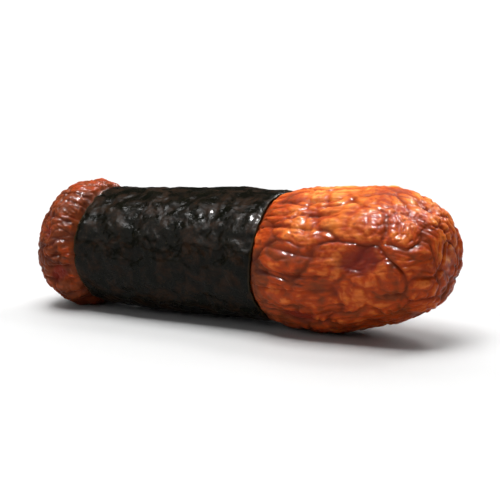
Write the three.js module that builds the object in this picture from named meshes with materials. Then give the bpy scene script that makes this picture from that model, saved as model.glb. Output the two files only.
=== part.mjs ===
// A Japanese rice cracker: a stick of puffed rice dough, glazed with soy sauce, with one strip of nori
// seaweed wound round its middle. The dough swells past the strip into a large end and a small one.
//
// Millimetres, +Z up. X runs along the cracker, with the large end at +X. The cracker lies on Z = 0, on a
// small flat spot under each end, and the origin is on the floor under the middle of its outline.

import * as THREE from "three";
import { mergeVertices } from "three/addons/utils/BufferGeometryUtils.js";

// Driving dimensions
const LENGTH = 33; // tip to tip
const BAND_LENGTH = 14.7; // the strip's width, which lies along X
const BAND_MIDDLE = -4.35; // X of the strip's middle
const WAIST_RADIUS = 4.06; // dough under the strip
const WAIST_TAPER = 0.28; // how much that grows at the large end's side, and shrinks at the small end's
const WAIST_BELLY = 0.15; // how much fuller the strip's middle is than its two edges
const LARGE_RADIUS = 5.28;
const SMALL_RADIUS = 4.48;
const BOW = 0.3; // how far the stick is bowed sideways
const TIP_LIFT = 0.7; // how far the large end's tip is bent up from the line between the two ends
const LIFT_LENGTH = 6; // length over which that bend rises, past the widest place
const SMALL_REST = 0.12; // how much of each round end its flat spot takes off
const LARGE_REST = 0.22;

// The nori strip
const NORI_THICKNESS = 0.2;
const NORI_CLEARANCE = 0.08; // air between the strip and the dough, and between its two layers at the lap
const LAP_AT = 0.5; // angle of the loose edge from +Y towards +Z, in radians
const LAP_LENGTH = 0.62; // angle that lies double
const LAP_RAMP = 0.55; // angle over which the strip climbs onto its own start
const EDGE_WAVE = 0.2; // how far the cut edges wander along X
const EDGE_SLANT = 0.7; // how far both edges lean along X, as the strip is wound a little askew
const EDGE_REACH = 3.5; // how far from an edge the dough still follows it
const CRINKLE = 0.1; // height of the strip's crumpled surface

// The dough's form outside the strip
const LIP_RISE = 0.36; // dough just outside the strip's edge stands this far over the waist
const LIP_START = 0.07;
const LIP_END = 0.34;
const LARGE_SHOULDER = 3.2; // distance from the strip's edge to the widest place
const SMALL_SHOULDER = 1.6;
// Powers of each dome's outline: 2 and 2 make an ellipse, less along tapers it sooner, more across blunts it.
const LARGE_DOME = { along: 1.5, across: 4.2 };
const SMALL_DOME = { along: 2.2, across: 2.2 };
const LUMP = 0.14; // slow unevenness of the whole stick
const SWOLLEN_LUMP = 0.22; // the same on the swollen ends

// The cracked surface of the ends
const CELL_SIZE = 1.9; // a puffed cell, measured round the stick
const CELL_STRETCH = 0.5; // cells are longer along X by one over this
const CELL_TRIES = 5;
const WANDER = 0.45; // how far cracks stray from straight
const CRACK_WIDTH = 0.9;
const CRACK_DEPTH = 0.38;
const PILLOW = 0.13; // rise of a cell's middle
const RIB_COUNT = 22; // ribs round the stick next to the strip
const RIB_DEPTH = 0.34;
const LARGE_RIBS = 6.0; // how far the ribs run from the strip before they fade
const SMALL_RIBS = 2.6;
const PIT_SEED = 23;
const PITS_PER_END = 5;
const PIT_RADIUS = 0.9;
const PIT_DEPTH = 0.5;
const SCAR = { out: 9.1, angle: 3.05, radius: 1.2 }; // the large sunken one, placed from the strip and +Y
const CELL_SEED = 4177;

// How finely each surface is divided
const QUARTER = 24; // steps in a quarter of the way round the dough
const TIP_RINGS = QUARTER / 2; // rings of each tip's round cap
const TIP_GATHER = 1.4; // how much closer the rings lie towards each tip
const DOME_RINGS = { large: 12, small: 5 }; // rings between a tip's cap and the widest place
const SHOULDER_RINGS = { large: 5, small: 4 };
const WAIST_RINGS = 6;
const NORI_AROUND = 72;
const NORI_ALONG = 12;

const TURN = 2 * Math.PI;
const BAND_START = BAND_MIDDLE - BAND_LENGTH / 2;
const BAND_END = BAND_MIDDLE + BAND_LENGTH / 2;

// Each end is measured outwards from the strip's edge: `reach` is its length and `shoulder` its widest place.
const LARGE_END = {
  name: "large",
  side: 1,
  edge: BAND_END,
  reach: LENGTH / 2 - BAND_END,
  radius: LARGE_RADIUS,
  shoulder: LARGE_SHOULDER,
  dome: LARGE_DOME,
  ribs: LARGE_RIBS,
  cells: 56,
};
const SMALL_END = {
  name: "small",
  side: -1,
  edge: BAND_START,
  reach: LENGTH / 2 + BAND_START,
  radius: SMALL_RADIUS,
  shoulder: SMALL_SHOULDER,
  dome: SMALL_DOME,
  ribs: SMALL_RIBS,
  cells: 30,
};

// ---------- Small helpers ----------

// A source of repeatable random numbers between 0 and 1.
function seededRandom(seed) {
  let state = seed;
  return () => {
    state = (state * 16807) % 2147483647;
    return state / 2147483647;
  };
}

// A smooth value between -1 and 1 that wanders from place to place.
function swell(x, y, z, frequency, phase) {
  const a = Math.sin(frequency * x + 2.1 * Math.sin(0.7 * frequency * y + phase));
  const b = Math.sin(1.1 * frequency * y + 1.7 * Math.sin(0.8 * frequency * z + 1.3 * phase));
  const c = Math.sin(0.9 * frequency * z + 1.9 * Math.sin(0.6 * frequency * x + 0.7 * phase));
  return (a + b + c) / 3;
}

const smoothstep = THREE.MathUtils.smoothstep;

function endAt(x) {
  return x > BAND_MIDDLE ? LARGE_END : SMALL_END;
}

// ---------- The dough's smooth form ----------

// Radius of the dough under the strip, which tapers, and is a little fuller at the strip's middle.
function waistRadius(x) {
  const fromMiddle = THREE.MathUtils.clamp((x - BAND_MIDDLE) / (BAND_LENGTH / 2), -1, 1);
  return WAIST_RADIUS + WAIST_TAPER * fromMiddle + WAIST_BELLY * (1 - fromMiddle ** 2);
}

// The outline of one end, as [distance from the strip's edge, radius], from the strip to the tip.
function endOutline(end) {
  const points = [];
  const lip = waistRadius(end.edge) + LIP_RISE;
  const rings = SHOULDER_RINGS[end.name];
  for (let i = 0; i < rings; i++) {
    const t = i / rings;
    const out = LIP_END + (end.shoulder - LIP_END) * t;
    points.push([out, lip + (end.radius - lip) * (1 - (1 - t) ** 2)]);
  }
  const dome = DOME_RINGS[end.name] + TIP_RINGS;
  for (let i = 0; i <= dome; i++) {
    const angle = (1 - i / dome) ** TIP_GATHER * (Math.PI / 2);
    const out = end.shoulder + (end.reach - end.shoulder) * Math.cos(angle) ** (2 / end.dome.along);
    points.push([out, i === dome ? 0 : end.radius * Math.sin(angle) ** (2 / end.dome.across)]);
  }
  return points;
}

// The outline of the whole stick, as [X, radius], from the small end's tip to the large end's.
function stickOutline() {
  const outline = (end) => endOutline(end).map(([out, r]) => [end.edge + end.side * out, r]);
  const waist = [];
  for (let i = 0; i <= WAIST_RINGS; i++) {
    const x = BAND_START - LIP_START + (BAND_LENGTH + 2 * LIP_START) * (i / WAIST_RINGS);
    waist.push([x, waistRadius(x)]);
  }
  return [...outline(SMALL_END).reverse(), ...waist, ...outline(LARGE_END)];
}

// ---------- Unevenness that the dough and the strip share ----------

function lump(x, angle) {
  return LUMP * swell(0.5 * x, 2.2 * Math.cos(angle), 2.2 * Math.sin(angle), 0.9, 0.4);
}

// How far the strip's edge, and the dough's lip beside it, stray along X.
function edgeShift(angle, end) {
  const y = 5 * Math.cos(angle);
  const z = 5 * Math.sin(angle);
  const wave = swell(3 * end.side, y, z, 0.85, 1.1 + end.side);
  return EDGE_WAVE * wave + EDGE_SLANT * Math.cos(angle);
}

// The stick's centre line is bowed a little sideways, and its height lets both ends touch the floor.
function centreLine(x) {
  const smallX = BAND_START - SMALL_SHOULDER;
  const largeX = BAND_END + LARGE_SHOULDER;
  const share = (x - smallX) / (largeX - smallX);
  const height = THREE.MathUtils.lerp(SMALL_RADIUS - SMALL_REST, LARGE_RADIUS - LARGE_REST, share);
  const lift = TIP_LIFT * smoothstep(x, largeX, largeX + LIFT_LENGTH);
  return { y: BOW * 4 * share * (1 - share), z: height + lift };
}

// ---------- Cracks, cells and pits of the ends ----------

// The place on an outline at a fractional number of steps from its start, as [X or distance, radius].
function along(outline, steps) {
  const i = Math.min(Math.floor(steps), outline.length - 2);
  const [a, b] = [outline[i], outline[i + 1]];
  return [a[0] + (b[0] - a[0]) * (steps - i), a[1] + (b[1] - a[1]) * (steps - i)];
}

// A random place on an end's smooth surface.
function placeOn(outline, end, random) {
  const [out, radius] = along(outline, random() * (outline.length - 1));
  const angle = TURN * random();
  return { x: end.edge + end.side * out, y: radius * Math.cos(angle), z: radius * Math.sin(angle) };
}

function cellDistance(p, q) {
  return Math.hypot((p.x - q.x) * CELL_STRETCH, p.y - q.y, p.z - q.z);
}

// Evenly scattered middles of the puffed cells: each new one is the candidate furthest from the others.
function scatterCells(end, random) {
  const outline = endOutline(end);
  const cells = [placeOn(outline, end, random)];
  while (cells.length < end.cells) {
    let best = null;
    let bestGap = -1;
    for (let i = 0; i < CELL_TRIES; i++) {
      const candidate = placeOn(outline, end, random);
      const gap = Math.min(...cells.map((cell) => cellDistance(cell, candidate)));
      if (gap > bestGap) {
        best = candidate;
        bestGap = gap;
      }
    }
    cells.push(best);
  }
  return cells;
}

const cellRandom = seededRandom(CELL_SEED);
LARGE_END.middles = scatterCells(LARGE_END, cellRandom);
SMALL_END.middles = scatterCells(SMALL_END, cellRandom);

const pitRandom = seededRandom(PIT_SEED);
for (const end of [LARGE_END, SMALL_END]) {
  const outline = endOutline(end).slice(4);
  end.pits = [];
  for (let i = 0; i < PITS_PER_END; i++) {
    const place = placeOn(outline, end, pitRandom);
    end.pits.push({ ...place, radius: PIT_RADIUS * (0.6 + 0.6 * pitRandom()) });
  }
}

const scarOutline = endOutline(LARGE_END);
const beforeScar = scarOutline.findLastIndex(([out]) => out < SCAR.out);
const [[outA, radiusA], [outB, radiusB]] = scarOutline.slice(beforeScar);
const scarRadius = THREE.MathUtils.mapLinear(SCAR.out, outA, outB, radiusA, radiusB);
LARGE_END.pits.push({
  x: BAND_END + SCAR.out,
  y: scarRadius * Math.cos(SCAR.angle),
  z: scarRadius * Math.sin(SCAR.angle),
  radius: SCAR.radius,
});

// How far the finished surface stands off the smooth one at a point, in or out.
function relief(p) {
  const end = endAt(p.x);
  const out = end.side * (p.x - end.edge);
  const shown = smoothstep(out, LIP_START, 1.1);
  if (shown === 0) return 0;

  const stray = {
    x: p.x + 2 * WANDER * swell(p.x, p.y, p.z, 1.1, 0.3),
    y: p.y + WANDER * swell(p.z, p.x, p.y, 1.7, 2.1),
    z: p.z + WANDER * swell(p.y, p.z, p.x, 1.6, 4.2),
  };
  let nearest = Infinity;
  let second = Infinity;
  for (const middle of end.middles) {
    const gap = cellDistance(stray, middle);
    if (gap < nearest) {
      second = nearest;
      nearest = gap;
    } else if (gap < second) {
      second = gap;
    }
  }
  const crack = Math.max(0, 1 - (second - nearest) / CRACK_WIDTH) ** 2;
  const open = 0.5 + 0.5 * swell(p.x, p.y, p.z, 1.3, 5.0);
  const pillow = PILLOW * (1 - (nearest / CELL_SIZE) ** 2);

  const angle = Math.atan2(p.z, p.y);
  const ribTurn = RIB_COUNT * angle + 2.4 * swell(p.x, 2 * p.y, 2 * p.z, 0.5, 3.3);
  const ribStrength = (0.5 + 0.5 * swell(p.z, p.x, p.y, 1.2, 1.2)) ** 1.3;
  const ribs = (1 - Math.abs(Math.sin(ribTurn / 2))) ** 2 * ribStrength;
  const ribFade = 1 - smoothstep(out, end.ribs - 1, end.ribs + 2);

  let pits = 0;
  for (const pit of end.pits) {
    const gap = cellDistance(stray, pit) / pit.radius;
    pits += Math.exp(-(gap ** 2));
  }
  const swollen = SWOLLEN_LUMP * swell(p.x, p.y, p.z, 0.55, 1.9);
  return (
    shown * (pillow + swollen - CRACK_DEPTH * open * crack - RIB_DEPTH * ribFade * ribs) -
    shown * PIT_DEPTH * Math.min(pits, 1)
  );
}

// ---------- Meshes ----------

// Leaves a closed surface: shared vertices merged, and collapsed triangles dropped.
function closed(geometry) {
  const bare = geometry.clone();
  bare.deleteAttribute("normal");
  bare.deleteAttribute("uv");
  const merged = mergeVertices(bare, 1e-4);
  const index = merged.index.array;
  const kept = [];
  for (let i = 0; i < index.length; i += 3) {
    const [a, b, c] = [index[i], index[i + 1], index[i + 2]];
    if (a !== b && b !== c && c !== a) kept.push(a, b, c);
  }
  merged.setIndex(kept);
  merged.clearGroups();
  merged.computeVertexNormals();
  return merged;
}

// Moves every vertex to the place that `place(point, normal)` gives.
function reshape(geometry, place) {
  const position = geometry.getAttribute("position");
  const normal = geometry.getAttribute("normal");
  const p = new THREE.Vector3();
  const n = new THREE.Vector3();
  for (let i = 0; i < position.count; i++) {
    p.fromBufferAttribute(position, i);
    n.fromBufferAttribute(normal, i);
    const moved = place(p, n);
    position.setXYZ(i, moved.x, moved.y, moved.z);
  }
  geometry.computeVertexNormals();
  return geometry;
}

// A box drawn out to the stick's smooth outline: its sides become rings, and its two ends the tips' caps.
function smoothStick() {
  const outline = stickOutline();
  const sideRings = outline.length - 1 - 2 * TIP_RINGS;
  const box = closed(new THREE.BoxGeometry(2, 2, 2, sideRings, QUARTER, QUARTER));
  return reshape(box, (p) => {
    const discY = p.y * Math.sqrt(1 - p.z ** 2 / 2);
    const discZ = p.z * Math.sqrt(1 - p.y ** 2 / 2);
    const inward = (1 - Math.hypot(discY, discZ)) * Math.sign(p.x);
    const angle = Math.atan2(discZ, discY);
    const steps = ((p.x + 1) / 2) * sideRings + (1 + inward) * TIP_RINGS;
    const [x, radius] = along(outline, THREE.MathUtils.clamp(steps, 0, outline.length - 1));
    return { x, y: radius * Math.cos(angle), z: radius * Math.sin(angle) };
  });
}

// The puffed dough: the smooth stick, cracked at its ends, bowed, and flattened where it rests.
function doughGeometry() {
  return reshape(smoothStick(), (p, n) => {
    const end = endAt(p.x);
    const angle = Math.atan2(p.z, p.y);
    const radius = Math.hypot(p.y, p.z);
    const followed = 1 - smoothstep(Math.abs(p.x - end.edge), 0.6, EDGE_REACH);
    const height = relief(p);
    const grow = lump(p.x, angle) * Math.min(radius / WAIST_RADIUS, 1);
    const centre = centreLine(p.x);
    return {
      x: p.x + followed * edgeShift(angle, end) + n.x * height,
      y: p.y + n.y * height + grow * Math.cos(angle) + centre.y,
      z: Math.max(p.z + n.z * height + grow * Math.sin(angle) + centre.z, 0),
    };
  });
}

// The nori: a flat strip bent once round the waist, with its outer edge lapped over its start.
function noriGeometry() {
  const flat = new THREE.BoxGeometry(1, 1, 1, NORI_AROUND, NORI_ALONG, 1);
  return reshape(closed(flat), (p) => {
    const turned = (p.x + 0.5) * (TURN + LAP_LENGTH);
    const angle = LAP_AT - LAP_LENGTH + turned;
    const across = p.y + 0.5;
    const layer = p.z + 0.5;
    const start = BAND_START + edgeShift(angle, SMALL_END);
    const x = start + across * (BAND_END + edgeShift(angle, LARGE_END) - start);
    const climb = smoothstep(turned, TURN - LAP_RAMP, TURN);
    const y = Math.cos(angle);
    const z = Math.sin(angle);
    const crinkle = CRINKLE * (0.5 + 0.5 * swell(x, 5 * y, 5 * z, 2.1, 0.9));
    const radius =
      waistRadius(x) +
      lump(x, angle) +
      NORI_CLEARANCE +
      crinkle +
      layer * NORI_THICKNESS +
      climb * (NORI_THICKNESS + NORI_CLEARANCE);
    const centre = centreLine(x);
    return { x, y: radius * y + centre.y, z: radius * z + centre.z };
  });
}

function piece(name, geometry, color, roughness) {
  const material = new THREE.MeshStandardMaterial({ color, roughness, metalness: 0 });
  const mesh = new THREE.Mesh(geometry, material);
  mesh.name = name;
  return mesh;
}

const cracker = new THREE.Group();
cracker.add(piece("rice_dough", doughGeometry(), 0xa85a2a, 0.4));
cracker.add(piece("nori_band", noriGeometry(), 0x1c1c12, 0.35));

// The origin goes under the middle of the outline.
const middle = new THREE.Box3().setFromObject(cracker).getCenter(new THREE.Vector3());
for (const mesh of cracker.children) mesh.position.set(-middle.x, -middle.y, 0);

export default cracker;
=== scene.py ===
"""A Japanese rice cracker: a stick of puffed, soy-glazed dough with a strip of nori wound round its middle.

Shapes are worked out in millimetres, with X along the cracker, the large end at +X and +Z up. They are
scaled to metres before they become pieces. The cracker lies on the floor, on a small flat spot under
each end.
"""

import math

import bmesh
import bpy
import numpy as np
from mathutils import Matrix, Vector, noise


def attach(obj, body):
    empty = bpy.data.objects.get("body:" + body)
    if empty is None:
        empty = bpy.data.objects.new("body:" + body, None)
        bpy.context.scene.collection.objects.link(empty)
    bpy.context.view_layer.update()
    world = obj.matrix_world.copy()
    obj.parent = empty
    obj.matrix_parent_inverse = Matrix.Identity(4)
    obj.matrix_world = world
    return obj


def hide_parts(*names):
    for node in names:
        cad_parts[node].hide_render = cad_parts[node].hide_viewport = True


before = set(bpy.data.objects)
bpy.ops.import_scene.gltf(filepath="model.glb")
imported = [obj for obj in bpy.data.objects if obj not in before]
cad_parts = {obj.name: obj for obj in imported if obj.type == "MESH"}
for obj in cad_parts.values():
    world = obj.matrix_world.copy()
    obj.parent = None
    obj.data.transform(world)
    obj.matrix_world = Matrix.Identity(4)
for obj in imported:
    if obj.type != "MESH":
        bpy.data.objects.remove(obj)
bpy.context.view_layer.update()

# ---------- Driving dimensions, in millimetres ----------

LENGTH = 33  # tip to tip
BAND_LENGTH = 14.7  # the strip's width, which lies along X
BAND_MIDDLE = -4.35  # X of the strip's middle
WAIST_RADIUS = 4.06  # dough under the strip
WAIST_TAPER = 0.28  # how much that grows at the large end's side, and shrinks at the small end's
WAIST_BELLY = 0.15  # how much fuller the strip's middle is than its two edges
LARGE_RADIUS = 5.28
SMALL_RADIUS = 4.48
BOW = 0.3  # how far the stick is bowed sideways
TIP_LIFT = 0.7  # how far the large end's tip is bent up from the line between the two ends
LIFT_LENGTH = 6  # length over which that bend rises, past the widest place
SMALL_REST = 0.12  # how much of each round end its flat spot takes off
LARGE_REST = 0.22

# The nori strip
NORI_THICKNESS = 0.2
NORI_CLEARANCE = 0.08  # air between the strip and the dough, and between its two layers at the lap
LAP_AT = 0.5  # angle of the loose edge from +Y towards +Z, in radians
LAP_LENGTH = 0.62  # angle that lies double
LAP_RAMP = 0.55  # angle over which the strip climbs onto its own start
LAP_PRESS = 0.2  # angle past the lap over which the strip, pressed flat under it, gets its bumps back
EDGE_WAVE = 0.2  # how far the cut edges wander along X
EDGE_SLANT = 0.7  # how far both edges lean along X, as the strip is wound a little askew
EDGE_HOLD = 0.6  # how far from an edge the dough follows it fully
EDGE_REACH = 3.5  # and how far from it the dough still follows it a little

# The strip's crumpled outer side
CRINKLE = 0.1  # height of its slow waves
DIMPLE_DEPTH = 0.12  # the hammered look of the shrunken strip
DIMPLE_LEVEL = 0.45  # the share of that depth which lies below the smooth strip
PUCKER_DEPTH = 0.05  # smaller dimples among them
PUCKER_LEVEL = 0.4
FOLD_DEPTH = 0.07
FOLD_SIZE = 1.6
TWIST = 0.35  # how far dimples and folds are pushed out of line
HIGHEST_BUMP = 0.2
CUT_WIDTH = 0.35  # the rim along each cut edge that lies lower than the rest
CUT_DROP = 0.09
FRAY = 0.05  # raggedness of the cut edges
FRAY_SIZE = 0.45
TEAR = 0.05  # unevenness of the loose edge, in radians
TEAR_WIDTH = 0.08  # angle over which the strip is torn there
TEAR_PATCHES = 8  # patches of that unevenness in half of the strip's width

# The dough's form outside the strip
LIP_RISE = 0.36  # dough just outside the strip's edge stands this far over the waist
LIP_START = 0.07  # the distances from the edge between which it rises
LIP_END = 0.34
LARGE_SHOULDER = 3.2  # distance from the strip's edge to the widest place
SMALL_SHOULDER = 1.6
LARGE_DOME = (1.5, 4.2)  # powers along and across: 2 and 2 make an ellipse, less along tapers it sooner
SMALL_DOME = (2.2, 2.2)
TIP_GATHER = 1.4  # how much closer the rings lie towards each tip
LUMP = 0.14  # slow unevenness of the whole stick
LUMPS_ALONG = 0.5  # how closely the lumps follow each other along the stick, and round it
LUMPS_ROUND = 2.2
SWOLLEN_LUMP = 0.22  # further unevenness of the swollen ends

# The cracked surface of the ends
CELL_SEED = 4177
CELL_TRIES = 5  # candidates for the middle of each puffed cell
LARGE_CELLS = 56
SMALL_CELLS = 30
CELL_REACH = 1.9  # how far from its middle, measured round the stick, a puffed cell still rises
CELL_STRETCH = 0.5  # cells are longer along X by one over this
WANDER = 0.45  # how far cracks stray from straight, which is twice as far along X
CRACK_WIDTH = 0.5
CRACK_DEPTH = 0.2
PILLOW = 0.13  # rise of a cell's middle
RIB_COUNT = 22  # ribs round the stick next to the strip
RIB_DEPTH = 0.34
RIB_WANDER = 2.4  # how far ribs stray from straight, in radians of their own wave
LARGE_RIBS = 6.0  # how far the ribs run from the strip
SMALL_RIBS = 2.6
RIB_FADE_START = 1  # they start to fade this much before that, and are gone this much past it
RIB_FADE_END = 2
PIT_SEED = 23
PITS_PER_END = 5
PIT_FREE_RINGS = 4  # rings of the outline next to the strip where no pit has its middle
PIT_RADIUS = 0.9
PIT_SMALLEST = 0.6  # the smallest pit's share of that radius, and how much larger a share others may have
PIT_SPREAD = 0.6
PIT_DEPTH = 0.5
SCAR = {"out": 9.1, "angle": 3.05, "radius": 1.2}  # the large sunken pit, placed from the strip and +Y

# Finer relief of the baked skin
FULL_RELIEF = 0.5  # distance from the strip's edge at which all relief has its full height
WRINKLE_WIDTH = 0.5  # in cells of its pattern
WRINKLE_DEPTH = 0.1
BLISTER_RISE = 0.08
CRACKLE_WIDTH = 0.4  # the finest cracks, also in cells of their pattern
CRACKLE_DEPTH = 0.05
SKIN_GRAIN = 0.035
SKIN_GRAIN_SIZE = 0.5

# Patterns of small scattered cells. Each is squeezed by its factor along X, where less than 1 draws it
# out, and has a shift of its own, so that no two are alike.
DIMPLES = {"size": 1.15, "squeeze": 0.8, "shift": 0.0}
PUCKERS = {"size": 0.55, "squeeze": 1.0, "shift": 17.0}
WRINKLES = {"size": 0.95, "squeeze": 1.3, "shift": 7.3}
BLISTERS = {"size": 0.5, "squeeze": 0.7, "shift": 31.0}
CRACKLES = {"size": 0.42, "squeeze": 0.8, "shift": 53.0}
FOLD_SHIFT = 5.0
FRAY_SHIFT = 3.0
LAYER_SHIFT = 11.0  # further shift of the lap's upper layer, which is crumpled in its own way
ROUND = 5  # radius of the ring on which slow patterns round the strip are read
NORI_ROUND = 4.8  # and of the one for its fine patterns, a little more than the strip's own radius

# How dark each end is baked, from 0 to 1, and how much more its tip is baked; the small end's darkness is
# partly painted shade, and the rim beside the strip is darkened by painted shade
LARGE_TOAST = 0.0
# the small end is baked darker, and partly darkened by painted shade
SMALL_TOAST_AND_SHADE = 0.8
TIP_TOAST = 0.3
TIP_TOAST_POWER = 2.4  # a higher one keeps it nearer the tip
# painted shade: the dough beside the strip's edge, where it curves in under the nori, is coloured darker
RIM_SHADE = 0.9
RIM_REACH = 3.4  # how far that rim runs from the strip

# The sines of the angles over the horizontal between which an end's top gets painted light: its top is
# coloured paler, as if lit from above
TOP_LIGHT_FROM = 0.05
TOP_LIGHT_TO = 0.65

# How much sauce each kind of groove holds, and how much painted shade it gets, as both darken it
CRACK_SAUCE_AND_SHADE = 0.9
RIB_SAUCE_AND_SHADE = 0.7
WRINKLE_SAUCE_AND_SHADE = 0.3

# The mask of crests, which paints highlights on crests and shade in hollows: its value where the surface is
# level, and what a millimetre of each form adds to it
LEVEL_CREST = 0.5
PILLOW_CREST = 1.2
SKIN_CREST = 3.5
BUMP_CREST = 3.0
CRACK_CREST = 0.4  # what a whole crack takes off

# How finely each surface is divided. The dough's ends have `FINENESS` times the rings given here.
FINENESS = 5
QUARTER = 24 * FINENESS  # steps in a quarter of the way round the dough
TIP_RINGS = 12
DOME_RINGS = {"large": 12, "small": 5}
SHOULDER_RINGS = {"large": 5, "small": 4}
WAIST_RINGS = 6
NORI_AROUND = 300
NORI_ALONG = 130
NORI_LAYERS = 2

MM = 1000  # millimetres in a metre
TURN = 2 * math.pi
BAND_START = BAND_MIDDLE - BAND_LENGTH / 2
BAND_END = BAND_MIDDLE + BAND_LENGTH / 2

# Each end is measured outwards from the strip's edge: `reach` is its length and `shoulder` its widest place.
LARGE_END = {
    "name": "large",
    "side": 1,
    "edge": BAND_END,
    "reach": LENGTH / 2 - BAND_END,
    "radius": LARGE_RADIUS,
    "shoulder": LARGE_SHOULDER,
    "dome": LARGE_DOME,
    "ribs": LARGE_RIBS,
    "toast_and_shade": LARGE_TOAST,
    "cells": LARGE_CELLS,
}
SMALL_END = {
    "name": "small",
    "side": -1,
    "edge": BAND_START,
    "reach": LENGTH / 2 + BAND_START,
    "radius": SMALL_RADIUS,
    "shoulder": SMALL_SHOULDER,
    "dome": SMALL_DOME,
    "ribs": SMALL_RIBS,
    "toast_and_shade": SMALL_TOAST_AND_SHADE,
    "cells": SMALL_CELLS,
}

# ---------- Small helpers ----------


def seeded_random(seed):
    """A source of repeatable random numbers between 0 and 1, by Lehmer's rule."""
    multiplier = 16807
    modulus = 2**31 - 1
    state = seed

    def draw():
        nonlocal state
        state = state * multiplier % modulus
        return state / modulus

    return draw


def swell(x, y, z, frequency, phase):
    """A smooth value between -1 and 1 that wanders from place to place. Each phase gives another pattern.

    The factors inside are uneven only so that the three waves never fall in step.
    """
    a = np.sin(frequency * x + 2.1 * np.sin(0.7 * frequency * y + phase))
    b = np.sin(1.1 * frequency * y + 1.7 * np.sin(0.8 * frequency * z + 1.3 * phase))
    c = np.sin(0.9 * frequency * z + 1.9 * np.sin(0.6 * frequency * x + 0.7 * phase))
    return (a + b + c) / 3


def patchy(x, y, z, frequency, phase):
    """A smooth value like that of `swell`, but between 0 and 1."""
    return 0.5 + 0.5 * swell(x, y, z, frequency, phase)


def smoothstep(value, low, high):
    t = np.clip((value - low) / (high - low), 0, 1)
    return t * t * (3 - 2 * t)


def cells_round(points, pattern, further=0):
    """Distances, in cells, from each point to the two nearest middles of a pattern's scattered cells."""
    placed = points * (pattern["squeeze"], 1, 1) + pattern["shift"] + further
    return np.array([noise.voronoi(Vector(p))[0][:2] for p in placed / pattern["size"]]).T


def roughness_at(points, size, octaves=3):
    """Soft random roughness, about -1 to 1, with patches of that size."""
    fall_off = 0.9  # the higher it is, the weaker each finer octave
    step = 2.1  # how many times finer each octave is
    return np.array([noise.fractal(Vector(p), fall_off, step, octaves) for p in points / size])


# ---------- The dough's smooth form ----------


def waist_radius(x):
    """Radius of the dough under the strip, which tapers, and is a little fuller at the strip's middle."""
    from_middle = np.clip((x - BAND_MIDDLE) / (BAND_LENGTH / 2), -1, 1)
    return WAIST_RADIUS + WAIST_TAPER * from_middle + WAIST_BELLY * (1 - from_middle**2)


def end_outline(end, fineness=1):
    """The outline of one end, as [distance from the strip's edge, radius], from the strip to the tip."""
    points = []
    lip = float(waist_radius(end["edge"])) + LIP_RISE
    rings = SHOULDER_RINGS[end["name"]] * fineness
    for i in range(rings):
        t = i / rings
        out = LIP_END + (end["shoulder"] - LIP_END) * t
        points.append((out, lip + (end["radius"] - lip) * (1 - (1 - t) ** 2)))
    along, across = end["dome"]
    dome = (DOME_RINGS[end["name"]] + TIP_RINGS) * fineness
    for i in range(dome + 1):
        angle = (1 - i / dome) ** TIP_GATHER * (math.pi / 2)
        out = end["shoulder"] + (end["reach"] - end["shoulder"]) * math.cos(angle) ** (2 / along)
        points.append((out, 0 if i == dome else end["radius"] * math.sin(angle) ** (2 / across)))
    return points


def stick_outline():
    """The outline of the whole stick, as [X, radius], from the small end's tip to the large end's."""
    small, large = (
        [(end["edge"] + end["side"] * out, r) for out, r in end_outline(end, FINENESS)]
        for end in (SMALL_END, LARGE_END)
    )
    waist = []
    for i in range(WAIST_RINGS + 1):
        x = BAND_START - LIP_START + (BAND_LENGTH + 2 * LIP_START) * (i / WAIST_RINGS)
        waist.append((x, float(waist_radius(x))))
    return np.array(small[::-1] + waist + large)


# ---------- Unevenness that the dough and the strip share ----------


def lump(x, angle):
    """How far the whole stick swells or shrinks there."""
    y, z = LUMPS_ROUND * np.cos(angle), LUMPS_ROUND * np.sin(angle)
    return LUMP * swell(LUMPS_ALONG * x, y, z, 0.9, 0.4)


def edge_shift(angle, end):
    """How far the strip's edge, and the dough's lip beside it, stray along X."""
    wave = swell(3 * end["side"], ROUND * np.cos(angle), ROUND * np.sin(angle), 0.85, 1.1 + end["side"])
    return EDGE_WAVE * wave + EDGE_SLANT * np.cos(angle)


def centre_line(x):
    """Sideways place and height of the stick's centre line, which lets both ends touch the floor."""
    small_x, large_x = BAND_START - SMALL_SHOULDER, BAND_END + LARGE_SHOULDER
    share = (x - small_x) / (large_x - small_x)
    lift = TIP_LIFT * smoothstep(x, large_x, large_x + LIFT_LENGTH)
    small_height, large_height = SMALL_RADIUS - SMALL_REST, LARGE_RADIUS - LARGE_REST
    height = small_height + (large_height - small_height) * share
    return BOW * 4 * share * (1 - share), height + lift


# ---------- Cracks, cells and pits of the ends ----------


def place_on(outline, end, random):
    """A random place on an end's smooth surface."""
    steps = random() * (len(outline) - 1)
    i = min(int(steps), len(outline) - 2)
    out, radius = (a + (b - a) * (steps - i) for a, b in zip(outline[i], outline[i + 1]))
    angle = TURN * random()
    return (end["edge"] + end["side"] * out, radius * math.cos(angle), radius * math.sin(angle))


def cell_distance(p, q):
    return math.hypot((p[0] - q[0]) * CELL_STRETCH, p[1] - q[1], p[2] - q[2])


def scatter_cells(end, random):
    """Evenly scattered middles of the puffed cells: each is the candidate furthest from those before it."""
    outline = end_outline(end)
    cells = [place_on(outline, end, random)]
    while len(cells) < end["cells"]:
        candidates = [place_on(outline, end, random) for _ in range(CELL_TRIES)]
        cells.append(max(candidates, key=lambda c: min(cell_distance(c, cell) for cell in cells)))
    return cells


def scatter_pits(end, random):
    """An end's sunken pits, as [middle, radius]."""
    outline = end_outline(end)[PIT_FREE_RINGS:]
    return [
        (place_on(outline, end, random), PIT_RADIUS * (PIT_SMALLEST + PIT_SPREAD * random()))
        for _ in range(PITS_PER_END)
    ]


def scar():
    """The large end's sunken scar, as [middle, radius]."""
    radius = np.interp(SCAR["out"], *np.array(end_outline(LARGE_END)).T)
    y, z = radius * math.cos(SCAR["angle"]), radius * math.sin(SCAR["angle"])
    return (BAND_END + SCAR["out"], y, z), SCAR["radius"]


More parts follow.
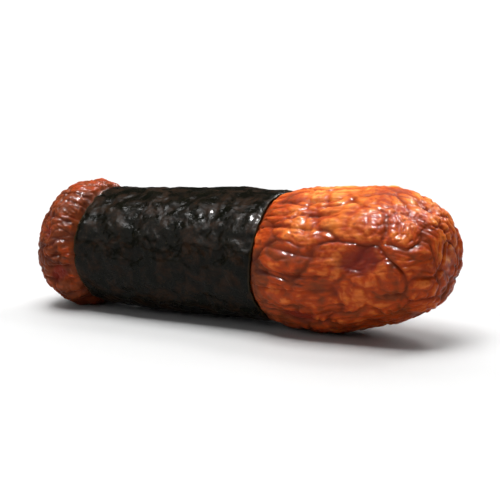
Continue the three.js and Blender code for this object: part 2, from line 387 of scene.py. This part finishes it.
cell_random = seeded_random(CELL_SEED)
for cracked in (LARGE_END, SMALL_END):
    cracked["middles"] = scatter_cells(cracked, cell_random)

pit_random = seeded_random(PIT_SEED)
for pitted in (LARGE_END, SMALL_END):
    pitted["pits"] = scatter_pits(pitted, pit_random)
LARGE_END["pits"].append(scar())


def skin_relief(stray, squeezed):
    """The height of the skin's wrinkles, blisters, crackle and grain, and a mask of the wrinkles."""
    near, far = cells_round(squeezed, WRINKLES)
    wrinkle = np.maximum(0, 1 - (far - near) / WRINKLE_WIDTH) ** 1.5
    near, _ = cells_round(stray, BLISTERS)
    blister = 1 - near**2
    near, far = cells_round(stray, CRACKLES)
    crackle = np.maximum(0, 1 - (far - near) / CRACKLE_WIDTH)
    grain = roughness_at(stray, SKIN_GRAIN_SIZE)
    raised = BLISTER_RISE * blister + SKIN_GRAIN * grain
    return raised - WRINKLE_DEPTH * wrinkle - CRACKLE_DEPTH * crackle, wrinkle


def relief(points, end):
    """How far an end's baked surface stands off the smooth one, and the masks that its material reads."""
    x, y, z = points.T
    out = end["side"] * (x - end["edge"])
    shown = smoothstep(out, LIP_START, FULL_RELIEF)
    stray = np.column_stack([
        x + 2 * WANDER * swell(x, y, z, 1.1, 0.3),
        y + WANDER * swell(z, x, y, 1.7, 2.1),
        z + WANDER * swell(y, z, x, 1.6, 4.2),
    ])
    squeezed = stray * (CELL_STRETCH, 1, 1)

    def gaps(middles):
        return np.linalg.norm(squeezed[:, None] - np.array(middles) * (CELL_STRETCH, 1, 1), axis=2)

    nearest, second = np.sort(gaps(end["middles"]), axis=1)[:, :2].T
    crack = np.maximum(0, 1 - (second - nearest) / CRACK_WIDTH) ** 2
    opened = patchy(x, y, z, 1.3, 5.0)
    pillow = PILLOW * (1 - (nearest / CELL_REACH) ** 2)

    angle = np.arctan2(z, y)
    rib_turn = RIB_COUNT * angle + RIB_WANDER * swell(x, 2 * y, 2 * z, 0.5, 3.3)
    ribs = (1 - np.abs(np.sin(rib_turn / 2))) ** 2 * patchy(z, x, y, 1.2, 1.2) ** 1.3
    rib_fade = 1 - smoothstep(out, end["ribs"] - RIB_FADE_START, end["ribs"] + RIB_FADE_END)

    places, radii = zip(*end["pits"])
    pits = np.minimum(np.exp(-((gaps(places) / radii) ** 2)).sum(axis=1), 1)
    swollen = SWOLLEN_LUMP * swell(x, y, z, 0.55, 1.9)
    height = pillow + swollen - CRACK_DEPTH * opened * crack - RIB_DEPTH * rib_fade * ribs - PIT_DEPTH * pits
    skin, wrinkle = skin_relief(stray, squeezed)

    tip_toast = TIP_TOAST * (out / end["reach"]) ** TIP_TOAST_POWER
    # painted shade: darker beside the strip's edge
    rim_shade = RIM_SHADE * (1 - end["toast_and_shade"]) * (1 - smoothstep(out, LIP_END, RIM_REACH))
    # grooves darkened by pooled sauce and by painted shade
    sauce_and_shade = CRACK_SAUCE_AND_SHADE * opened * crack + WRINKLE_SAUCE_AND_SHADE * wrinkle + RIB_SAUCE_AND_SHADE * rib_fade * ribs
    # painted highlights on crests and painted shade in hollows and cracks
    crest_shading = LEVEL_CREST + PILLOW_CREST * pillow + SKIN_CREST * skin - CRACK_CREST * crack
    masks = {
        "crack": shown * np.clip(sauce_and_shade, 0, 1),
        "pit": shown * pits,
        # this mask holds real toast and painted shade
        "bake_and_painted_light": np.clip(end["toast_and_shade"] + tip_toast + rim_shade, 0, 1),
        # painted light: the ends' upward-facing tops are coloured paler, as if lit from above
        "painted_top_light": (1 - end["toast_and_shade"]) * smoothstep(np.sin(angle), TOP_LIGHT_FROM, TOP_LIGHT_TO),
        "crest_shading": shown * np.clip(crest_shading, 0, 1),
    }
    return shown * (height + skin), masks


# ---------- Meshes ----------


def divided_box(steps):
    """A box from -1 to 1, whose edges along each axis are divided into that many steps."""
    bm = bmesh.new()
    bmesh.ops.create_cube(bm, size=2)
    for axis, count in enumerate(steps):
        # before an axis is divided, each edge along it is 2 long, and all others are 0 long on it
        along = [e for e in bm.edges if abs((e.verts[0].co - e.verts[1].co)[axis]) > 1]
        bmesh.ops.subdivide_edges(bm, edges=along, cuts=count - 1, use_grid_fill=True)
    return bm


def corners(bm):
    return np.array([v.co for v in bm.verts])


def move_to(bm, places):
    for v, place in zip(bm.verts, places):
        v.co = place
    bm.normal_update()


def piece(name, bm, masks):
    """An object of a finished mesh, with the masks that its material reads."""
    mesh = bpy.data.meshes.new(name)
    bm.to_mesh(mesh)
    bm.free()
    for mask_name, values in masks.items():
        stored = mesh.attributes.new(mask_name, "FLOAT", "POINT")
        stored.data.foreach_set("value", np.asarray(values, np.float32))
    mesh.polygons.foreach_set("use_smooth", np.ones(len(mesh.polygons), bool))
    obj = bpy.data.objects.new(name, mesh)
    bpy.context.scene.collection.objects.link(obj)
    return obj


def smooth_stick():
    """A divided box, with the X, radius and angle at which each of its corners lies on the smooth stick.

    The box's four long sides become the rings, and its two square ends the round caps of the tips.
    """
    outline = stick_outline()
    tip_rings = TIP_RINGS * FINENESS
    side_rings = len(outline) - 1 - 2 * tip_rings
    bm = divided_box((side_rings, QUARTER, QUARTER))
    x, y, z = corners(bm).T
    disc_y, disc_z = y * np.sqrt(1 - z**2 / 2), z * np.sqrt(1 - y**2 / 2)
    inward = (1 - np.hypot(disc_y, disc_z)) * np.sign(x)
    angle = np.arctan2(disc_z, disc_y)
    steps = np.clip((x + 1) / 2 * side_rings + (1 + inward) * tip_rings, 0, len(outline) - 1)
    x, radius = (np.interp(steps, np.arange(len(outline)), values) for values in outline.T)
    return bm, x, radius, angle


def make_dough():
    """The puffed dough: the smooth stick, cracked at its ends, bowed, and flattened where it rests."""
    bm, x, radius, angle = smooth_stick()
    smooth = np.column_stack([x, radius * np.cos(angle), radius * np.sin(angle)])
    move_to(bm, smooth)
    outwards = np.array([v.normal for v in bm.verts])

    height = np.zeros(len(smooth))
    shift = np.zeros(len(smooth))
    masks = {name: np.zeros(len(smooth)) for name in ("crack", "pit", "bake_and_painted_light", "painted_top_light", "crest_shading")}
    for end in (LARGE_END, SMALL_END):
        here = end["side"] * (x - BAND_MIDDLE) > 0
        followed = 1 - smoothstep(np.abs(x[here] - end["edge"]), EDGE_HOLD, EDGE_REACH)
        shift[here] = followed * edge_shift(angle[here], end)
        shown = here & (end["side"] * (x - end["edge"]) > 0)
        height[shown], found = relief(smooth[shown], end)
        for name, values in found.items():
            masks[name][shown] = values

    grow = lump(x, angle) * np.minimum(radius / WAIST_RADIUS, 1)
    bow, rise = centre_line(x)
    placed = smooth + outwards * height[:, None]
    placed[:, 0] += shift
    placed[:, 1] += grow * np.cos(angle) + bow
    placed[:, 2] += grow * np.sin(angle) + rise
    placed[:, 2] = np.maximum(placed[:, 2], 0)
    move_to(bm, placed)
    return bm, masks


def nori_bumps(twisted, further):
    """Height of the strip's dimples, puckers and folds."""
    near, _ = cells_round(twisted, DIMPLES, further)
    dimple = np.clip(near, 0, 1) ** 2
    near, _ = cells_round(twisted, PUCKERS, further)
    pucker = near**2
    folds = 1 - np.abs(roughness_at(twisted + FOLD_SHIFT + further, FOLD_SIZE)) * 2
    dimpled = DIMPLE_DEPTH * (dimple - DIMPLE_LEVEL)
    return dimpled + FOLD_DEPTH * folds + PUCKER_DEPTH * (pucker - PUCKER_LEVEL)


def make_nori():
    """The nori: a flat strip bent once round the waist, with its outer edge lapped over its start."""
    bm = divided_box((NORI_AROUND, NORI_ALONG, NORI_LAYERS))
    flat = corners(bm)
    length, across, layer = ((flat + 1) / 2).T
    turned = length * (TURN + LAP_LENGTH)
    torn = 1 - smoothstep(TURN + LAP_LENGTH - turned, 0.0, TEAR_WIDTH)
    uneven = roughness_at(flat * (TEAR_PATCHES, TEAR_PATCHES, 0), 1.0)
    angle = LAP_AT - LAP_LENGTH + turned + torn * TEAR * uneven
    y, z = np.cos(angle), np.sin(angle)
    start = BAND_START + edge_shift(angle, SMALL_END)
    x = start + across * (BAND_END + edge_shift(angle, LARGE_END) - start)
    climb = smoothstep(turned, TURN - LAP_RAMP, TURN)

    crinkle = CRINKLE * patchy(x, ROUND * y, ROUND * z, 2.1, 0.9)
    on_ring = np.column_stack([x, NORI_ROUND * y, NORI_ROUND * z])
    twists = [swell(x, ROUND * y, ROUND * z, 1.9, phase) for phase in (0.2, 2.6, 4.9)]
    further = np.where(climb > 0.5, LAYER_SHIFT, 0.0)[:, None]
    cut = 1 - smoothstep(np.minimum(across, 1 - across) * BAND_LENGTH, 0.0, CUT_WIDTH)
    bumps = nori_bumps(on_ring + TWIST * np.column_stack(twists), further) - CUT_DROP * cut
    # the lap presses the strip's start flat, so that its two layers stay apart
    bumps = np.minimum(bumps, HIGHEST_BUMP * smoothstep(turned, LAP_LENGTH, LAP_LENGTH + LAP_PRESS))
    radius = (
        waist_radius(x)
        + lump(x, angle)
        + NORI_CLEARANCE
        + crinkle
        + layer * NORI_THICKNESS
        + layer * bumps
        + climb * (NORI_THICKNESS + NORI_CLEARANCE)
    )
    fray = roughness_at(on_ring + FRAY_SHIFT, FRAY_SIZE, octaves=4)
    x = x + np.sign(across - 0.5) * cut * FRAY * fray
    bow, rise = centre_line(x)
    move_to(bm, np.column_stack([x, radius * y + bow, radius * z + rise]))
    # painted highlights on the strip's bumps
    crest_shading = np.clip(LEVEL_CREST + BUMP_CREST * bumps, 0, 1)
    return bm, {"crest_shading": crest_shading, "cut_edge": cut, "loose_edge": torn}


# ---------- Materials ----------


def colour(red, green, blue):
    """A colour, given from 0 to 255 each, as a shader's linear one."""
    parts = [c / 255 for c in (red, green, blue)]
    return [c / 12.92 if c <= 0.04045 else ((c + 0.055) / 1.055) ** 2.4 for c in parts] + [1]


def add(tree, kind, settings=None, **sockets):
    """A node, with its settings and the values or links of its sockets.

    `_` stands for a space in a socket's name. `i0`, `i1` and so on stand for a socket's number instead.
    """
    node = tree.nodes.new(kind)
    for name, value in (settings or {}).items():
        setattr(node, name, value)
    for name, value in sockets.items():
        key = int(name[1:]) if name[0] == "i" and name[1:].isdigit() else name.replace("_", " ")
        socket = node.inputs[key]
        if isinstance(value, bpy.types.NodeSocket):
            tree.links.new(value, socket)
        else:
            socket.default_value = value
    return node


def mask(tree, name):
    """One of the masks that the piece's mesh carries."""
    return add(tree, "ShaderNodeAttribute", {"attribute_name": name}).outputs["Fac"]


def work_out(tree, kind, first, second, clamp=False):
    node = add(tree, "ShaderNodeMath", {"operation": kind, "use_clamp": clamp}, i0=first, i1=second)
    return node.outputs[0]


def fit(tree, value, low, high, to_low=0.0, to_high=1.0):
    """A value that eases from `to_low` to `to_high` as the given one goes from `low` to `high`."""
    node = add(
        tree, "ShaderNodeMapRange", {"interpolation_type": "SMOOTHSTEP"},
        Value=value, From_Min=low, From_Max=high, To_Min=to_low, To_Max=to_high,
    )
    return node.outputs[0]


def ramp(tree, value, stops):
    """The colour that a value picks from the given stops."""
    node = add(tree, "ShaderNodeValToRGB", Fac=value)
    made_stops = node.color_ramp.elements
    while len(made_stops) < len(stops):
        made_stops.new(0.5)
    for stop, (place, shade) in zip(made_stops, stops):
        stop.position, stop.color = place, shade
    return node.outputs[0]


def stain(tree, base, where, low, high, strength, shade):
    """The base colour, with that strength of another laid over it as `where` goes from `low` to `high`."""
    amount = fit(tree, where, low, high, 0.0, strength)
    return add(tree, "ShaderNodeMix", {"data_type": "RGBA"}, i0=amount, i6=base, i7=shade).outputs[2]


def fine_noise(tree, place, detail, roughness, distortion=0.0):
    """Noise with patches of about 1 unit."""
    node = add(
        tree, "ShaderNodeTexNoise",
        Vector=place, Scale=1.0, Detail=detail, Roughness=roughness, Distortion=distortion,
    )
    return node.outputs["Fac"]


def baked_grain():
    """Patches, fine grain and dark specks, which toasted dough and toasted seaweed both have."""
    tree = bpy.data.node_groups.new("baked grain", "ShaderNodeTree")
    tree.interface.new_socket("Place", in_out="INPUT", socket_type="NodeSocketVector")
    for name in ("Patch Size", "Grain Size", "Speck Size"):
        tree.interface.new_socket(name, in_out="INPUT", socket_type="NodeSocketFloat")
    for name in ("Patches", "Grain", "Specks"):
        tree.interface.new_socket(name, in_out="OUTPUT", socket_type="NodeSocketFloat")
    given = tree.nodes.new("NodeGroupInput").outputs
    given_back = tree.nodes.new("NodeGroupOutput").inputs

    def at_scale(size):
        per_size = work_out(tree, "DIVIDE", 1.0, given[size])
        scale = {"operation": "SCALE"}
        return add(tree, "ShaderNodeVectorMath", scale, Vector=given["Place"], Scale=per_size).outputs[0]

    patches = fine_noise(tree, at_scale("Patch Size"), detail=4.0, roughness=0.55, distortion=0.6)
    grain = fine_noise(tree, at_scale("Grain Size"), detail=5.0, roughness=0.62)
    specks = add(tree, "ShaderNodeTexVoronoi", Vector=at_scale("Speck Size"), Scale=1.0).outputs["Distance"]
    tree.links.new(fit(tree, patches, 0.3, 0.7), given_back["Patches"])
    tree.links.new(grain, given_back["Grain"])
    tree.links.new(fit(tree, specks, 0.28, 0.08), given_back["Specks"])
    return tree


GRAIN = baked_grain()


def grain_node(tree, place, patch, grain, speck):
    """The shared grain, with the sizes of its three patterns in millimetres."""
    node = add(
        tree, "ShaderNodeGroup", {"node_tree": GRAIN},
        Place=place, Patch_Size=patch, Grain_Size=grain, Speck_Size=speck,
    )
    return node.outputs


def new_material(name):
    """A material to be filled, with its node tree and the place on the piece in millimetres."""
    material = bpy.data.materials.new(name)
    material.use_nodes = True
    tree = material.node_tree
    tree.nodes.clear()
    place = add(tree, "ShaderNodeTexCoord").outputs["Object"]
    in_mm = add(tree, "ShaderNodeMapping", Vector=place, Scale=(MM, MM, MM)).outputs[0]
    return material, tree, in_mm


def finish(tree, **sockets):
    """Ends a material with its shader."""
    surface = add(tree, "ShaderNodeBsdfPrincipled", **sockets)
    add(tree, "ShaderNodeOutputMaterial", Surface=surface.outputs[0])


def fine_bump(tree, grain, strength):
    """The finest grain as bump, as high as 0.06 mm at full strength."""
    return add(tree, "ShaderNodeBump", Height=grain, Strength=strength, Distance=0.06 / MM).outputs[0]


def glazed_dough():
    """Toasted dough under soy glaze, with painted light and shade: palest on top of the large end, where
    light is painted on, and darkest where the sauce pooled and shade is painted into the grooves.
    """
    material, tree, place = new_material("glazed dough")
    grain = grain_node(tree, place, 2.2, 0.24, 0.6)
    drawn_out = add(tree, "ShaderNodeMapping", Vector=place, Scale=(0.35, 1.5, 1.5)).outputs[0]
    streaks = fine_noise(tree, drawn_out, detail=3.0, roughness=0.6)

    # how far the dough is baked, with painted light and shade in it: the ends' own toast and painted rim
    # shade, then painted light on the tops, streaks, patches, and painted highlights and shade on the crests
    bake_and_painted_light = add(tree, "ShaderNodeMapRange", Value=mask(tree, "bake_and_painted_light"), To_Min=0.43, To_Max=0.74).outputs[0]
    # painted light: the tops are coloured paler
    bake_and_painted_light = work_out(tree, "SUBTRACT", bake_and_painted_light, fit(tree, mask(tree, "painted_top_light"), 0.0, 1.0, 0.0, 0.19))
    bake_and_painted_light = work_out(tree, "ADD", bake_and_painted_light, fit(tree, streaks, 0.3, 0.7, -0.06, 0.12))
    bake_and_painted_light = work_out(tree, "ADD", bake_and_painted_light, fit(tree, grain["Patches"], 0.0, 1.0, -0.1, 0.16))
    # painted highlights on crests, painted shade in hollows
    crest_shading = fit(tree, mask(tree, "crest_shading"), 0.1, 0.9, -0.13, 0.15)
    bake_and_painted_light = work_out(tree, "SUBTRACT", bake_and_painted_light, crest_shading, clamp=True)
    crust = ramp(tree, bake_and_painted_light, [
        (0.0, colour(228, 156, 82)),
        (0.2, colour(202, 106, 44)),
        (0.45, colour(162, 59, 19)),
        (0.72, colour(117, 53, 24)),
        (1.0, colour(75, 33, 16)),
    ])
    sauce_and_shade = work_out(tree, "POWER", mask(tree, "crack"), 1.1)
    # pooled sauce in the grooves, and painted shade in them
    crust = stain(tree, crust, sauce_and_shade, 0.1, 1.0, 0.75, colour(88, 26, 10))
    crust = stain(tree, crust, mask(tree, "pit"), 0.25, 0.75, 0.85, colour(112, 34, 24))
    crust = stain(tree, crust, grain["Specks"], 0.0, 1.0, 0.3, colour(96, 44, 20))
    finish(
        tree,
        Base_Color=crust,
        Roughness=fit(tree, grain["Patches"], 0.0, 1.0, 0.3, 0.48),
        Normal=fine_bump(tree, grain["Grain"], 0.35),
        Specular_IOR_Level=0.04,
        Coat_Weight=0.075,
        Coat_Roughness=0.1,
        Subsurface_Weight=0.12,
        Subsurface_Radius=(1.0, 0.45, 0.2),
        Subsurface_Scale=0.6 / MM,
    )
    return material


def toasted_nori():
    """Nori: near-black green, brown in patches, with a crisp gloss that ends before the torn edge."""
    material, tree, place = new_material("toasted nori")
    grain = grain_node(tree, place, 1.2, 0.22, 0.35)
    leaf = ramp(tree, grain["Patches"], [
        (0.0, colour(7, 8, 4)),
        (0.5, colour(15, 11, 6)),
        (1.0, colour(37, 22, 10)),
    ])
    leaf = stain(tree, leaf, grain["Grain"], 0.42, 0.62, 0.5, colour(8, 10, 5))
    leaf = stain(tree, leaf, grain["Specks"], 0.0, 1.0, 0.15, colour(62, 54, 34))
    # painted highlights on the strip's bumps
    leaf = stain(tree, leaf, mask(tree, "crest_shading"), 0.5, 1.0, 0.2, colour(36, 33, 22))
    leaf = stain(tree, leaf, mask(tree, "cut_edge"), 0.5, 1.0, 0.5, colour(58, 46, 26))
    finish(
        tree,
        Base_Color=leaf,
        Roughness=fit(tree, grain["Patches"], 0.1, 0.9, 0.22, 0.42),
        Coat_Weight=fit(tree, mask(tree, "loose_edge"), 0.2, 0.8, 0.09, 0.0),
        Normal=fine_bump(tree, grain["Grain"], 0.7),
        Specular_IOR_Level=0.03,
        Coat_Roughness=0.1,
    )
    return material


def pale_floor():
    """A plain matt floor, painted paler away from the cracker to make up for the lamps' falloff, so that the
    far floor looks as bright as the near.
    """
    material, tree, place = new_material("pale floor")
    grain = grain_node(tree, place, 40.0, 1.2, 3.0)
    shade = ramp(tree, grain["Patches"], [(0.0, colour(160, 160, 160)), (1.0, colour(164, 164, 164))])
    away = add(tree, "ShaderNodeVectorMath", {"operation": "LENGTH"}, i0=place).outputs["Value"]
    # painted light: paler far away, where the lamps light the floor less
    shade = stain(tree, shade, away, 50.0, 180.0, 1.0, colour(198, 198, 198))
    finish(tree, Base_Color=shade, Roughness=0.7)
    return material


# ---------- The cracker ----------

made = {"puffed_dough": make_dough(), "nori_strip": make_nori()}
everything = np.concatenate([corners(bm) for bm, _ in made.values()])
middle = (everything.min(axis=0) + everything.max(axis=0)) / 2
for bm, _ in made.values():
    move_to(bm, (corners(bm) - (middle[0], middle[1], 0)) / MM)

for name, node, slot, material in (
    ("puffed_dough", "rice_dough", "glazed_dough", glazed_dough()),
    ("nori_strip", "nori_band", "nori", toasted_nori()),
):
    part = piece(name, *made[name])
    part.data.materials.append(material)
    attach(part, "root")
    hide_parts(node)

# ---------- Floor, light and camera, in metres ----------

FLOOR_REACH = 2.0  # from the origin to each side
LAMP_AIM = (0, 0, 0.005)
WORLD_LIGHT = 0.045
LENS = 400  # in millimetres, as cameras are
CAMERA_AIM = Vector((0.0, 0.0, 0.0052))
CAMERA_AZIMUTH = math.radians(29)
CAMERA_ELEVATION = math.radians(11.5)
CAMERA_DISTANCE = 0.4


def make_floor():
    bm = bmesh.new()
    bmesh.ops.create_grid(bm, x_segments=1, y_segments=1, size=FLOOR_REACH)
    floor = piece("floor", bm, {})
    floor.data.materials.append(pale_floor())


def look_from(obj, place, target):
    obj.location = place
    obj.rotation_euler = (Vector(target) - Vector(place)).to_track_quat("-Z", "Y").to_euler()


def softbox(name, place, size, watts, lights=True, glints=True):
    """A rectangular lamp, which can light the cracker, put glints in its glaze, or both."""
    data = bpy.data.lights.new(name, "AREA")
    data.shape, data.size, data.size_y = "RECTANGLE", *size
    data.energy = watts
    lamp = bpy.data.objects.new(name, data)
    bpy.context.scene.collection.objects.link(lamp)
    lamp.visible_diffuse, lamp.visible_glossy = lights, glints
    look_from(lamp, place, LAMP_AIM)


def make_world():
    """Faint even light from all round."""
    world = bpy.data.worlds.new("studio")
    bpy.context.scene.world = world
    world.use_nodes = True
    background = world.node_tree.nodes["Background"]
    background.inputs["Color"].default_value = (1, 1, 1, 1)
    background.inputs["Strength"].default_value = WORLD_LIGHT


def make_camera():
    lens = bpy.data.cameras.new("camera")
    lens.lens = LENS
    lens.clip_start, lens.clip_end = 0.01, 20
    camera = bpy.data.objects.new("camera", lens)
    bpy.context.scene.collection.objects.link(camera)
    bpy.context.scene.camera = camera
    towards_camera = Vector((
        math.sin(CAMERA_AZIMUTH) * math.cos(CAMERA_ELEVATION),
        -math.cos(CAMERA_AZIMUTH) * math.cos(CAMERA_ELEVATION),
        math.sin(CAMERA_ELEVATION),
    ))
    look_from(camera, CAMERA_AIM + CAMERA_DISTANCE * towards_camera, CAMERA_AIM)


make_floor()
softbox("overhead", (-0.05, 0.0, 0.42), (0.28, 0.28), watts=3.3, glints=False)
softbox("back_fill", (-0.2, 0.38, 0.3), (0.7, 0.4), watts=3.7, glints=False)
softbox("front_fill", (-0.22, -0.34, 0.22), (0.4, 0.3), watts=0.55)
softbox("small_lamp", (-0.05, -0.13, 0.4), (0.12, 0.08), watts=13.0, lights=False)
softbox("back_lamp", (0.08, 0.24, 0.34), (0.12, 0.08), watts=4.0, lights=False)
make_world()
make_camera()
bpy.context.scene.view_settings.view_transform = "Standard"
